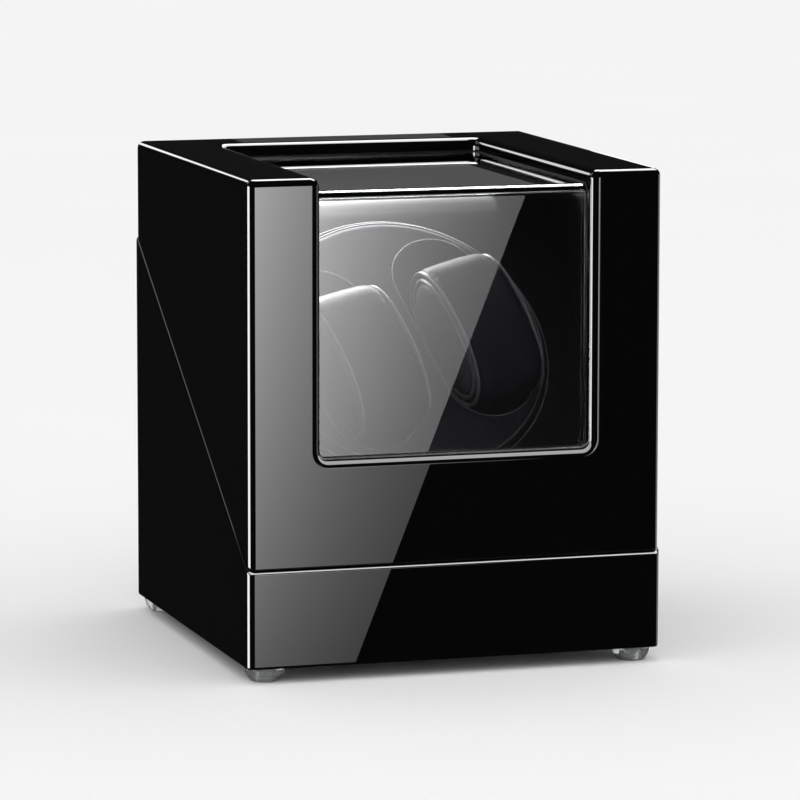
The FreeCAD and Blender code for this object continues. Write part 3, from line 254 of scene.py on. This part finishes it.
def circuit_board():
    """Solder mask over traces: a lattice of rounded tracks under green gloss."""
    made = Recipe("board_green", (0.01, 0.09, 0.035), 0.25, coat_weight=0.4)
    tracks = made.spread(made.cells(3.2 * MM), 0.0, 1.0, 0.03, 0.06)
    made.tint(tracks, (0.03, 0.22, 0.09), (0.008, 0.08, 0.03), 0.4, 0.6)
    made.bump(tracks, 0.04 * MM)
    return made.material


def rubber(name, colour):
    made = Recipe(name, colour, 0.7)
    made.bump(made.noise(0.4 * MM, 4.0), 0.03 * MM)
    made.rough(made.noise(5 * MM), 0.6, 0.8)
    return made.material


def make_materials():
    housing = satin_plastic("housing_black", (0.002, 0.002, 0.0025), (0.003, 0.003, 0.0035),
                            0.22, 0.35 * MM, 0.002 * MM, 0.03)
    return {
        "piano_lacquer": lacquer(),
        "bare_board": fibreboard("bare_board", (0.22, 0.14, 0.08), (0.36, 0.25, 0.15)),
        "black_board": fibreboard("black_board", (0.012, 0.012, 0.012), (0.02, 0.02, 0.02), 0.6),
        "acrylic": acrylic(),
        "gasket_foam": rubber("gasket_foam", shade(0.006)),
        "retainer_plastic": satin_plastic("retainer_plastic", shade(0.007), shade(0.01), 0.5,
                                          0.4 * MM, 0.02 * MM),
        "bumper_clear": clear_rubber(),
        "housing_black": housing,
        "disc_charcoal": satin_plastic("disc_charcoal", (0.016, 0.016, 0.021),
                                       (0.02, 0.02, 0.026), 0.36, 6.0 * MM, 0.002 * MM, 0.04),
        "pillow_leather": leather("pillow_leather", (0.009, 0.009, 0.013), (0.012, 0.012, 0.017)),
        "nylon_white": satin_plastic("nylon_white", (0.62, 0.62, 0.57), (0.7, 0.7, 0.66), 0.45,
                                     0.4 * MM, 0.01 * MM),
        "belt_rubber": rubber("belt_rubber", shade(0.015)),
        "zinc_plate": metal("zinc_plate", (0.62, 0.63, 0.62), 0.34, (1.0, 14.0, 14.0)),
        "steel": metal("steel", (0.55, 0.56, 0.58), 0.28),
        "brass": metal("brass", (0.72, 0.52, 0.22), 0.26),
        "bearing_alloy": metal("bearing_alloy", (0.66, 0.67, 0.69), 0.42),
        "chrome": metal("chrome", (0.78, 0.78, 0.8), 0.16),
        "black_steel": metal("black_steel", (0.05, 0.05, 0.05), 0.4),
        "control_black": satin_plastic("control_black", shade(0.01), shade(0.014), 0.48,
                                       0.5 * MM, 0.03 * MM),
        "switch_gloss": gloss_plastic("switch_gloss", shade(0.01)),
        "board_green": circuit_board(),
        "terminal_green": gloss_plastic("terminal_green", (0.02, 0.22, 0.06), 0.3),
    }


# Nodes drawn in another material than their own slot's: the pillow cups in the near-black housing
# plastic, painted shade for the dark inside the slots.
PAINTED_SHADE_MATERIAL_FOR = {"left_pillow_cup": "housing_black", "right_pillow_cup": "housing_black"}


def dress_nodes(materials):
    """Give every CAD node the material of its slot, but the pillow cups the near-black housing plastic
    as painted shade, and smooth its round faces.
    """
    sharp_angle = math.radians(28.0)
    for entry in frame["record"]["subparts"]:
        item = frame["nodes"][entry["node"]]
        item.data.shade_smooth()
        item.data.set_sharp_from_angle(angle=sharp_angle)
        if not item.material_slots:
            item.data.materials.append(None)
        for holder in item.material_slots:
            holder.link = "OBJECT"
            holder.material = materials[PAINTED_SHADE_MATERIAL_FOR.get(entry["node"], entry["material_slot"])]


# ---------------------------------------------------------------- pillows

RINGS = 25
AROUND = 96
SUPER = 2.25                        # exponent of the oval section; 2 is an ellipse
SWELL_ROOM = 1.0 * MM               # left all round for the filling to swell into
PILLOW_CROWN = 0.6 * MM             # how much fuller the middle is than the ends
TUCK = 1.4 * MM                     # how much the ends pull in
TUCK_START = 0.8                    # share of the way to an end where they begin to
PILLOW_END = PILLOW_HALF_WIDTH - 1.6 * MM
# Share of the section and height beyond PILLOW_END of each ring of an end pad.
CAP_RINGS = ((0.93, 0.0), (0.89, -0.5 * MM), (0.83, -0.5 * MM), (0.79, 1.0 * MM), (0.6, 1.5 * MM),
             (0.3, 1.7 * MM))
CAP_SHARE = 0.84                    # share of the section that is pad, not cover
CAP_DEPTH = 1.2 * MM
# How far in from the section, how far proud of the end, and the radius of each piping cord.
CORDS = ((0.0, 0.9 * MM, 0.75 * MM), (3.4 * MM, 0.6 * MM, 1.1 * MM))
CORD_SEAT = 0.5 * MM
CURVE_STEPS = 160
VOXEL = 1.3 * MM
SWELL_CAP = 1.3 * MM
SWELL_FRAMES = 20
GATHERS = 44
GATHER_REACH = 3.2 * MM
GATHER_HEIGHT = 0.12 * MM
WAVE_LENGTH = 7.0 * MM
WAVE_HEIGHT = 0.18 * MM


def pillow_matrix(side):
    """From a pillow's own axes (along its roll, up its slot, out of its slot) to the row frame."""
    across = DISC_RIGHT * math.cos(SLOT_TURN) + DISC_UP * math.sin(SLOT_TURN)
    along = -DISC_RIGHT * math.sin(SLOT_TURN) + DISC_UP * math.cos(SLOT_TURN)
    middle = (DISC_MIDDLE + across * side * PILLOW_OFFSET - along * PILLOW_DROP
              + DISC_OUT * PILLOW_RISE)
    turn = Matrix((across, along, DISC_OUT)).transposed().to_4x4()
    return Matrix.Translation(middle) @ turn


def oval(angle, reach, thickness):
    """A point of the pillow's oval section."""
    c, s = math.cos(angle), math.sin(angle)
    power = 2.0 / SUPER
    return (math.copysign(abs(c) ** power, c) * reach,
            math.copysign(abs(s) ** power, s) * thickness)


def pillow_section(share):
    """How wide the section is at a share of the way from the middle (0) to an end (1)."""
    crown = PILLOW_CROWN * (1.0 - share * share)
    tuck = TUCK * max(0.0, (share - TUCK_START) / (1.0 - TUCK_START)) ** 2
    change = crown - tuck - SWELL_ROOM
    return PILLOW_REACH + change, PILLOW_HALF_THICKNESS + change


def pillow_blank(name, side):
    """A closed oval roll with slightly domed ends."""
    bm = bmesh.new()
    loops = []
    for ring in range(RINGS):
        share = ring / (RINGS - 1) * 2.0 - 1.0
        reach, thickness = pillow_section(abs(share))
        loop = []
        for step in range(AROUND):
            a, b = oval(step / AROUND * math.tau, reach, thickness)
            loop.append(bm.verts.new((share * PILLOW_END, a, b)))
        loops.append(loop)
    for first, second in zip(loops, loops[1:]):
        for step in range(AROUND):
            following = (step + 1) % AROUND
            bm.faces.new((first[step], first[following], second[following], second[step]))
    for end, loop in ((-1, loops[0]), (1, loops[-1])):
        inner = loop
        for shrink, bulge in CAP_RINGS:
            ring = [
                bm.verts.new((end * (PILLOW_END + bulge), vert.co.y * shrink, vert.co.z * shrink))
                for vert in loop
            ]
            for step in range(AROUND):
                following = (step + 1) % AROUND
                bm.faces.new((inner[step], inner[following], ring[following], ring[step]))
            inner = ring
        bm.faces.new(inner)
    bmesh.ops.recalc_face_normals(bm, faces=bm.faces)
    mesh = bpy.data.meshes.new(name)
    bm.to_mesh(mesh)
    bm.free()
    mesh.transform(pillow_matrix(side))
    item = bpy.data.objects.new(name, mesh)
    bpy.context.collection.objects.link(item)
    return item


def applied(item):
    """Replace an object's mesh by what its modifiers make of it."""
    depsgraph = bpy.context.evaluated_depsgraph_get()
    mesh = bpy.data.meshes.new_from_object(item.evaluated_get(depsgraph))
    item.modifiers.clear()
    item.data = mesh


def stuff(item):
    """Swell a closed cover from inside, as filling does, by no more than the cap."""
    remesh = item.modifiers.new("voxels", "REMESH")
    remesh.mode = "VOXEL"
    remesh.voxel_size = VOXEL
    applied(item)
    before = [vert.co.copy() for vert in item.data.vertices]
    cloth = item.modifiers.new("filling", "CLOTH")
    settings = cloth.settings
    settings.quality = 6
    settings.use_pressure = True
    settings.uniform_pressure_force = 4.0
    settings.tension_stiffness = 12.0
    settings.bending_stiffness = 0.4
    settings.effector_weights.gravity = 0.0
    cloth.point_cache.frame_start = 1
    cloth.point_cache.frame_end = SWELL_FRAMES
    scene = bpy.context.scene
    for number in range(1, SWELL_FRAMES + 1):
        scene.frame_set(number)
    applied(item)
    for vert, start in zip(item.data.vertices, before):
        moved = vert.co - start
        if moved.length > SWELL_CAP:
            vert.co = start + moved.normalized() * SWELL_CAP
    scene.frame_set(1)


def pucker(item, side):
    """Draw small gathers into the cover beside its end seams."""
    back = pillow_matrix(side).inverted()
    normals = [vert.normal.copy() for vert in item.data.vertices]
    for vert, normal in zip(item.data.vertices, normals):
        spot = back @ vert.co
        beside = PILLOW_HALF_WIDTH - abs(spot.x)
        angle = math.atan2(spot.z / PILLOW_HALF_THICKNESS, spot.y / PILLOW_REACH)
        fade = math.exp(-(beside / GATHER_REACH) ** 2)
        wave = math.sin(angle * GATHERS + 1.7 * math.sin(angle * 5.0 + side))
        slow = math.sin(angle * 3.0 + side) * math.sin(spot.x / WAVE_LENGTH)
        vert.co += normal * (GATHER_HEIGHT * fade * wave + WAVE_HEIGHT * slow)


TUBE_SIDES = 12


def swept_tube(name, path, normal, radius):
    """A closed tube round a closed path that lies in a plane with this normal."""
    bm = bmesh.new()
    loops = []
    for number, centre in enumerate(path):
        tangent = (path[(number + 1) % len(path)] - path[number - 1]).normalized()
        out = tangent.cross(normal).normalized()
        loop = []
        for step in range(TUBE_SIDES):
            way = step / TUBE_SIDES * math.tau
            loop.append(bm.verts.new(centre + (out * math.cos(way) + normal * math.sin(way)) * radius))
        loops.append(loop)
    for number, loop in enumerate(loops):
        following = loops[(number + 1) % len(loops)]
        for step in range(TUBE_SIDES):
            after = (step + 1) % TUBE_SIDES
            bm.faces.new((loop[step], loop[after], following[after], following[step]))
    bmesh.ops.recalc_face_normals(bm, faces=bm.faces)
    mesh = bpy.data.meshes.new(name)
    bm.to_mesh(mesh)
    bm.free()
    mesh.shade_smooth()
    item = bpy.data.objects.new(name, mesh)
    bpy.context.collection.objects.link(item)
    return item


def tube_ring(name, side, along, reach, thickness, radius):
    """A piping cord round the pillow, as a closed tube."""
    turn = pillow_matrix(side)
    path = []
    for step in range(CURVE_STEPS):
        a, b = oval(step / CURVE_STEPS * math.tau, reach, thickness)
        path.append(turn @ Vector((along, a, b)))
    return swept_tube(name, path, turn.to_3x3() @ Vector((1.0, 0.0, 0.0)), radius)


def paint_lit_caps(item, side, painted_light_cap_leather):
    """Give the pads at both ends of a pillow a lighter leather: painted light, as if lit from the
    left.
    """
    item.data.materials.append(painted_light_cap_leather)
    back = pillow_matrix(side).inverted()
    reach, thickness = pillow_section(1.0)
    for face in item.data.polygons:
        spot = back @ face.center
        inside = math.hypot(spot.y / reach, spot.z / thickness) < CAP_SHARE
        if inside and abs(spot.x) > PILLOW_END - CAP_DEPTH:
            face.material_index = 1


# A slot is two half rounds of SLOT_RADIUS, their middles SLOT_REACH up and down from its own.
SLOT_OFFSET = 27.6 * MM
SLOT_RADIUS = 19.4 * MM
SLOT_REACH = 25.5 * MM
SLOT_ROUND_STEPS = 48
DISC_TOP = 4.5 * MM
DISC_RIM_RADIUS = 60.6 * MM
DISC_RIM_RISE = 3.4 * MM
HOLE_RADIUS = 63.5 * MM
# The beads are thin light-grey tubes, painted highlights along the edges.
BEAD = 0.35 * MM
BEAD_SINK = 0.15 * MM               # how far a bead's middle is below the face it edges
BEAD_INSET = 0.1 * MM               # how far it is into the material beside the opening


def make_bead(name, path, body, highlight_paint):
    """A thin light-grey bead along a path on the disc or the fascia: a painted highlight."""
    bead = swept_tube(name, path, DISC_OUT, BEAD)
    bead.data.materials.append(highlight_paint)
    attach(bead, body)


def slot_path(side):
    """Round the opening of the left (-1) or right (1) slot."""
    turned = pillow_matrix(1).to_3x3()
    radius = SLOT_RADIUS + BEAD_INSET
    path = []
    for end in (1, -1):
        for step in range(SLOT_ROUND_STEPS + 1):
            angle = math.pi * step / SLOT_ROUND_STEPS
            x = side * SLOT_OFFSET + end * math.cos(angle) * radius
            y = end * (SLOT_REACH + math.sin(angle) * radius)
            path.append(DISC_MIDDLE + turned @ Vector((x, y, DISC_TOP - BEAD_SINK)))
    return path


def round_path(radius, rise):
    """A circle about the disc's axis, risen out of its plane."""
    path = []
    for step in range(CURVE_STEPS):
        angle = step / CURVE_STEPS * math.tau
        path.append(DISC_MIDDLE + DISC_RIGHT * math.cos(angle) * radius
                    + DISC_UP * math.sin(angle) * radius + DISC_OUT * rise)
    return path


def make_edges():
    """Painted highlights: light-grey beads on the arrises of the disc's slots, its rim and the hole
    that it turns in.
    """
    highlight_paint = painted_highlight_bead()
    for side, word in ((-1, "left"), (1, "right")):
        make_bead(f"{word}_slot_edge", slot_path(side), "turntable", highlight_paint)
    make_bead("disc_rim_edge", round_path(DISC_RIM_RADIUS, DISC_RIM_RISE), "turntable",
              highlight_paint)
    make_bead("fascia_hole_edge", round_path(HOLE_RADIUS, -BEAD_SINK), "base",
              highlight_paint)


def make_pillows(materials):
    painted_highlight_cord_leather = piping()
    # The end pads' lighter leather is painted light, standing in for light falling on them from the
    # left.
    painted_light_cap_leather = leather("pillow_cap_painted_light", (0.05, 0.05, 0.06), (0.06, 0.06, 0.07))
    for side, word in ((-1, "left"), (1, "right")):
        body = f"{word}_pillow_body"
        cover = pillow_blank(f"{word}_pillow_cover", side)
        stuff(cover)
        pucker(cover, side)
        smooth = cover.modifiers.new("smooth", "SUBSURF")
        smooth.levels = 1
        smooth.render_levels = 1
        cover.data.shade_smooth()
        cover.data.materials.clear()
        cover.data.materials.append(materials["pillow_leather"])
        paint_lit_caps(cover, side, painted_light_cap_leather)
        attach(cover, body)
        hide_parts(f"{word}_pillow")
        edge_reach, edge_thickness = pillow_section(1.0)
        for end, end_word in ((-1, "left"), (1, "right")):
            for number, (inward, proud, radius) in enumerate(CORDS, start=1):
                ring = tube_ring(f"{word}_pillow_{end_word}_piping_{number}", side,
                                 end * (PILLOW_END + proud - CORD_SEAT), edge_reach - inward,
                                 edge_thickness - inward, radius)
                ring.data.materials.append(painted_highlight_cord_leather)
                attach(ring, body)


# ---------------------------------------------------------------- stage

BACKGROUND = 0.92
CAMERA_PLACE = Vector((-629.4, -2038.6, 402.8)) * MM
CAMERA_AIM = Vector((3.2, -1.7, 95.1)) * MM
CAMERA_LENS = 228.0
CAMERA_ROLL = math.radians(0.084)


def case_point(x, y, z):
    """A point given in millimetres from the middle of the case's underside."""
    return Vector((x * MM, CASE_MIDDLE_Y + y * MM, CASE_FLOOR + z * MM))


def make_camera():
    data = bpy.data.cameras.new("camera")
    data.lens = CAMERA_LENS
    data.sensor_width = 36.0
    data.clip_end = 50.0
    camera = bpy.data.objects.new("camera", data)
    bpy.context.collection.objects.link(camera)
    lift = Vector((0.0, CASE_MIDDLE_Y, CASE_FLOOR))
    place, aim = CAMERA_PLACE + lift, CAMERA_AIM + lift
    turn = (aim - place).to_track_quat("-Z", "Y").to_matrix().to_4x4()
    camera.matrix_world = Matrix.Translation(place) @ turn @ Matrix.Rotation(CAMERA_ROLL, 4, "Z")
    bpy.context.scene.camera = camera


def make_world():
    """Bright all round for sight and for diffuse light, and dark in mirror reflections."""
    world = bpy.data.worlds.new("studio")
    bpy.context.scene.world = world
    world.use_nodes = True
    nodes, links = world.node_tree.nodes, world.node_tree.links
    nodes.clear()
    path = nodes.new("ShaderNodeLightPath")
    mirrored = nodes.new("ShaderNodeMath")
    mirrored.operation = "GREATER_THAN"
    mirrored.inputs[1].default_value = 0.5
    bright = nodes.new("ShaderNodeBackground")
    bright.inputs["Color"].default_value = (BACKGROUND, BACKGROUND, BACKGROUND, 1.0)
    dark = nodes.new("ShaderNodeBackground")
    dark.inputs["Color"].default_value = (0.012, 0.012, 0.013, 1.0)
    mix = nodes.new("ShaderNodeMixShader")
    output = nodes.new("ShaderNodeOutputWorld")
    links.new(path.outputs["Glossy Depth"], mirrored.inputs[0])
    links.new(mirrored.outputs["Value"], mix.inputs["Fac"])
    links.new(bright.outputs["Background"], mix.inputs[1])
    links.new(dark.outputs["Background"], mix.inputs[2])
    links.new(mix.outputs["Shader"], output.inputs["Surface"])


def quad(name, corners):
    mesh = bpy.data.meshes.new(name)
    mesh.from_pydata([tuple(corner) for corner in corners], [], [tuple(range(len(corners)))])
    item = bpy.data.objects.new(name, mesh)
    bpy.context.collection.objects.link(item)
    return item


def make_floor():
    reach = 6.0
    floor = quad("floor", [(-reach, -reach, 0), (reach, -reach, 0),
                           (reach, reach, 0), (-reach, reach, 0)])
    made = Recipe("floor_paper", shade(BACKGROUND), 0.9, specular_ior_level=0.0)
    made.tint(made.noise(0.4, 2.0), shade(0.975), shade(0.985))
    floor.data.materials.append(made.material)
    floor.visible_glossy = False


FADE_FLOOR = 0.02                   # share of a fading card's strength left at its foot


def card(name, corners, strength, fade=None, one_sided=False):
    """A lit card that only glossy reflections see, from its underside where it is one-sided.

    A fade is (corner, reach along X, reach down Z, share). The card is brightest at the corner.
    Its strength falls to the share of that over one reach along X, and to FADE_FLOOR of it over
    one reach down Z.
    """
    item = quad(name, corners)
    for ray in ("camera", "diffuse", "transmission", "volume_scatter", "shadow"):
        setattr(item, f"visible_{ray}", False)
    material = bpy.data.materials.new(name)
    material.use_nodes = True
    nodes, links = material.node_tree.nodes, material.node_tree.links
    nodes.clear()
    light = nodes.new("ShaderNodeEmission")
    output = nodes.new("ShaderNodeOutputMaterial")
    light.inputs["Strength"].default_value = strength
    links.new(light.outputs["Emission"], output.inputs["Surface"])

    def calculate(operation, first, second):
        node = nodes.new("ShaderNodeMath")
        node.operation = operation
        for socket, value in zip(node.inputs, (first, second)):
            if isinstance(value, (int, float)):
                socket.default_value = value
            else:
                links.new(value, socket)
        return node.outputs["Value"]

    if fade:
        corner, reach_x, reach_z, share = fade
        place = nodes.new("ShaderNodeTexCoord")
        scaled = nodes.new("ShaderNodeMapping")
        scaled.inputs["Scale"].default_value = (1.0 / reach_x, 0.0, -1.0 / reach_z)
        scaled.inputs["Location"].default_value = (-corner.x / reach_x, 0.0, corner.z / reach_z)
        parts = nodes.new("ShaderNodeSeparateXYZ")
        links.new(place.outputs["Object"], scaled.inputs["Vector"])
        links.new(scaled.outputs["Vector"], parts.inputs["Vector"])
        down = nodes.new("ShaderNodeMapRange")
        down.inputs["To Min"].default_value = strength
        down.inputs["To Max"].default_value = FADE_FLOOR * strength
        links.new(parts.outputs["Z"], down.inputs["Value"])
        along = calculate("POWER", share, parts.outputs["X"])
        links.new(calculate("MULTIPLY", down.outputs["Result"], along), light.inputs["Strength"])
    if one_sided:
        side = nodes.new("ShaderNodeNewGeometry")
        clear = nodes.new("ShaderNodeBsdfTransparent")
        mix = nodes.new("ShaderNodeMixShader")
        links.new(side.outputs["Backfacing"], mix.inputs["Fac"])
        links.new(light.outputs["Emission"], mix.inputs[1])
        links.new(clear.outputs["BSDF"], mix.inputs[2])
        links.new(mix.outputs["Shader"], output.inputs["Surface"])
    item.data.materials.append(material)
    return item


def far_card(name, direction, distance, width, height, strength):
    """A rectangular card that faces the middle of the case from a direction, in millimetres."""
    aim = case_point(0.0, 0.0, 110.0)
    out = Vector(direction).normalized()
    side = out.cross(Vector((0.0, 0.0, 1.0))).normalized()
    rise = side.cross(out).normalized()
    middle = aim + out * distance * MM
    half_side, half_rise = side * width * MM / 2, rise * height * MM / 2
    corners = [middle - half_side - half_rise, middle + half_side - half_rise,
               middle + half_side + half_rise, middle - half_side + half_rise]
    return card(name, corners, strength)


def soft_light(name, place, aim, width, height, power):
    data = bpy.data.lights.new(name, "AREA")
    data.shape = "RECTANGLE"
    data.size, data.size_y = width, height
    data.energy = power
    item = bpy.data.objects.new(name, data)
    bpy.context.collection.objects.link(item)
    turn = (aim - place).to_track_quat("-Z", "Y").to_matrix().to_4x4()
    item.matrix_world = Matrix.Translation(place) @ turn
    item.visible_glossy = False
    return item


# Millimetres in this section, from the middle of the case's underside, through case_point().
FRONT_CARD_DISTANCE = 800.0
FAR = 900.0


def mirrored_in_front(x, z):
    """Where the camera's mirror ray off the front face at (x, z) meets the front card's plane."""
    front = -(CASE_HIGH.y - CASE_LOW.y) / 2 / MM
    far = FRONT_CARD_DISTANCE / (front - CAMERA_PLACE.y / MM)
    return case_point(x + (x - CAMERA_PLACE.x / MM) * far, front - FRONT_CARD_DISTANCE,
                      z + (z - CAMERA_PLACE.z / MM) * far)


def level_card(name, left, right, front, back, height, strength, fade=None, one_sided=False):
    """A level rectangular card; a one-sided one is lit on its underside."""
    corners = [case_point(left, front, height), case_point(left, back, height),
               case_point(right, back, height), case_point(right, front, height)]
    card(name, corners, strength, fade, one_sided)


def make_cards():
    # The tapered reflection across the front and the window, brightest at its upper left.
    front_strength = 10.0
    corners = [mirrored_in_front(x, z) for x, z in
               ((-110.0, -8.0), (-43.8, 0.0), (36.6, 202.0), (-110.0, 202.0))]
    reach_x, reach_z, share = 0.151, 0.38, 0.15
    card("front_card", corners, front_strength,
         (mirrored_in_front(-89.0, 203.0), reach_x, reach_z, share))

    # The soft band on the housing's roll, from a card inside the case.
    left, right, front, back, height = -78.0, 60.0, 23.0, 50.0, 185.0
    reach_x, reach_z, share = 0.1, 1.0, 0.15
    level_card("roll_card", left, right, front, back, height, 200.0,
               (case_point(left, front, height), reach_x, reach_z, share))

    # Cards round the studio: direction, distance, width, height, strength.
    for name, direction, distance, width, height, strength in (
            ("overhead_card", (0.29, 0.35, 0.89), 800.0, 740.0, 460.0, 14.0),
            ("left_card", (-0.985, -0.102, -0.14), FAR, 585.0, 650.0, 20.0),
            ("right_card", (0.98, 0.1, -0.14), FAR, 800.0, 600.0, 1.5),
            ("grazing_card", (0.566, 0.824, -0.14), FAR, 300.0, 500.0, 3.0),
            ("rear_card", (-0.19, 0.95, 0.345), FAR, 120.0, 140.0, 3.5),
            ("side_seam_card", (-0.6, 0.5, 0.63), FAR, 400.0, 400.0, 1.6)):
        far_card(name, direction, distance, width, height, strength)

    # Strips just in front of the case that light the seam below the lid and the window's sill.
    for name, height, strength in (("seam_card", 70.0, 16.0), ("sill_card", 112.0, 9.0)):
        level_card(name, -120.0, 140.0, -128.0, -93.0, height, strength, one_sided=True)

    # The faint light on the window's top, from behind.
    behind, low, high = 500.0, 238.1, 256.5
    card("shelf_card", [case_point(63.4, behind, low), case_point(176.0, behind, low),
                        case_point(236.0, behind, high), case_point(113.8, behind, high)], 0.1)


def make_lights():
    aim = case_point(0, 0, 110)
    soft_light("overhead", case_point(-200, -500, 1100), aim, 1.2, 1.2, 0.8)


materials = make_materials()
dress_nodes(materials)
make_camera()
make_pillows(materials)
make_edges()
make_world()
make_floor()
make_cards()
make_lights()
bpy.context.scene.view_settings.view_transform = "Standard"
